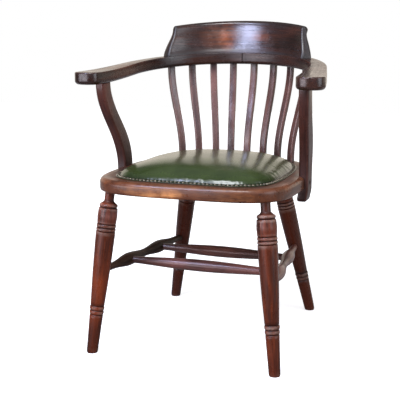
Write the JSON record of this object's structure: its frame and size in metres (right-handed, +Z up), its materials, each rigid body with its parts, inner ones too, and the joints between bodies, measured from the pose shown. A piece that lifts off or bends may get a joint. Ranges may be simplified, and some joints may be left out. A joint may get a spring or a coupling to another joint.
{
  "type": "desk armchair",
  "caption": "Low-backed wooden desk armchair with a bowed arm rail and raised crest, a fan of slim back slats, turned raking legs and stretchers, and a close-nailed leather seat.",
  "frame": {"origin": "on the floor, at the middle of the plan outline", "axes": "+Z up, the chair faces -Y, +X to the right of someone looking along +Y at its front"},
  "size_m": [0.6574, 0.5942, 0.8475],
  "materials": {
    "seat_wood": "stained and waxed, worn lighter along the front rail",
    "arm_wood": "stained dark and waxed, satin",
    "slat_wood": "stained and waxed, satin",
    "turned_wood": "stained red-brown and waxed, satin, dark in the quirks",
    "dowel_wood": "plain, unfinished",
    "leather": "glossy green hide",
    "stuffing": "curled hair in a calico skin, matte",
    "hessian": "coarse plain weave",
    "webbing": "woven jute strap",
    "brass": "antiqued"
  },
  "bodies": {
    "root": {"arm_joint_dowel_1": "dowel_wood", "arm_joint_dowel_2": "dowel_wood", "back_cross_stretcher": "turned_wood", "back_left_leg": "turned_wood", "back_right_leg": "turned_wood", "back_seat_rail": "seat_wood", "crest_dowel_1": "dowel_wood", "crest_dowel_2": "dowel_wood", "crest_dowel_3": "dowel_wood", "crest_dowel_4": "dowel_wood", "crest_rail": "arm_wood", "cross_web_1": "webbing", "cross_web_2": "webbing", "cross_web_3": "webbing", "front_cross_stretcher": "turned_wood", "front_left_leg": "turned_wood", "front_right_leg": "turned_wood", "front_seat_rail": "seat_wood", "hessian_base": "hessian", "leather_cover": "leather", "left_arm": "arm_wood", "left_arm_support": "arm_wood", "left_seat_rail": "seat_wood", "left_side_stretcher": "turned_wood", "left_support_pellet_1": "arm_wood", "left_support_pellet_2": "arm_wood", "left_support_screw_1": "brass", "left_support_screw_2": "brass", "long_web_1": "webbing", "long_web_2": "webbing", "long_web_3": "webbing", "right_arm": "arm_wood", "right_arm_support": "arm_wood", "right_seat_rail": "seat_wood", "right_side_stretcher": "turned_wood", "right_support_pellet_1": "arm_wood", "right_support_pellet_2": "arm_wood", "right_support_screw_1": "brass", "right_support_screw_2": "brass", "seat_dowel_1": "dowel_wood", "seat_dowel_2": "dowel_wood", "seat_dowel_3": "dowel_wood", "seat_dowel_4": "dowel_wood", "seat_dowel_5": "dowel_wood", "seat_dowel_6": "dowel_wood", "seat_dowel_7": "dowel_wood", "seat_dowel_8": "dowel_wood", "slat_1": "slat_wood", "slat_2": "slat_wood", "slat_3": "slat_wood", "slat_4": "slat_wood", "slat_5": "slat_wood", "slat_6": "slat_wood", "slat_7": "slat_wood", "slat_8": "slat_wood", "stuffing_pad": "stuffing"}
  },
  "joints": []
}
